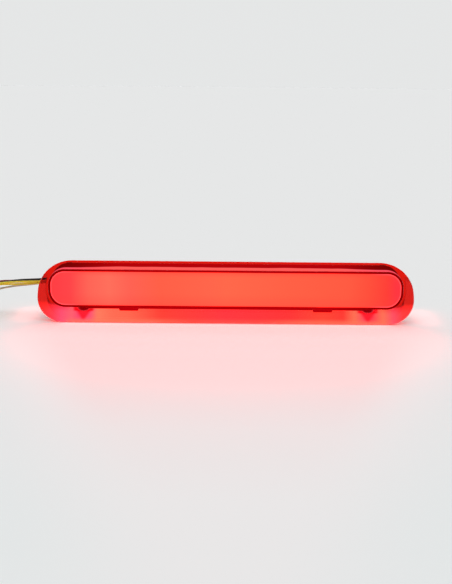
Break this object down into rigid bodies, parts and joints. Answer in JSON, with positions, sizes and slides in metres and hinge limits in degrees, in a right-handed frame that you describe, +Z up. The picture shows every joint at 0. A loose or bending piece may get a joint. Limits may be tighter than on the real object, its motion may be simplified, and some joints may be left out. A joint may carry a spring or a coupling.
{
  "type": "third brake light",
  "caption": "Long narrow high-level brake lamp: wide clear red flange for a sloping panel, upright lit bar, black rear housing with studs, short lead set with connector.",
  "frame": {"origin": "on the floor under the middle of the lamp's box, leads and connector left out", "axes": "+X along the lamp's length to the right as seen from its lit face, -Y the way the face looks, +Z up; the flange leans back 32 degrees"},
  "size_m": [0.4924, 0.1078, 0.0552],
  "materials": {
    "red_clear": "transparent moulded red acrylic, polished",
    "red_frosted": "frosted translucent red, lit from behind",
    "white_reflector": "white, moulded, satin",
    "black_shell": "black moulded, fine texture",
    "pale_foam": "closed-cell foam",
    "seal_rubber": "soft moulded rubber",
    "seal_orange": "soft silicone",
    "zinc_steel": "zinc plated",
    "board_white": "white solder mask over laminate",
    "led_white": "white moulded package",
    "led_gel": "clear casting resin",
    "chip_black": "moulded epoxy",
    "solder_tin": "bright tin",
    "can_alu": "drawn can",
    "wire_black": "PVC insulation",
    "wire_red": "PVC insulation",
    "wire_yellow": "PVC insulation",
    "wire_white": "PVC insulation",
    "plug_black": "moulded nylon",
    "lock_red": "moulded nylon",
    "vent_grey": "porous membrane"
  },
  "bodies": {
    "root": {"outer_lens": "red_clear", "front_diffuser": "red_frosted", "lens_seal": "seal_rubber", "panel_gasket": "pale_foam", "rear_housing": "black_shell", "vent_patch": "vent_grey", "mounting_studs": "zinc_steel", "lens_screws": "zinc_steel", "carrier_screws": "zinc_steel", "led_board": "board_white", "board_screws": "zinc_steel", "reflector_frame": "white_reflector", "board_carrier": "black_shell", "led_packages": "led_white", "led_windows": "led_gel", "resistors": "chip_black", "driver_chip": "chip_black", "input_diode": "chip_black", "surge_diode": "chip_black", "smoothing_capacitor": "can_alu", "solder_joints": "solder_tin", "inner_leads": "wire_black", "wire_grommet": "seal_rubber", "connector_housing": "plug_black", "connector_lock": "lock_red", "connector_seals": "seal_orange", "connector_terminals": "solder_tin", "wire_black": "wire_black", "wire_red": "wire_red", "wire_yellow_front": "wire_yellow", "wire_yellow_low": "wire_yellow", "wire_white": "wire_white"}
  },
  "joints": []
}
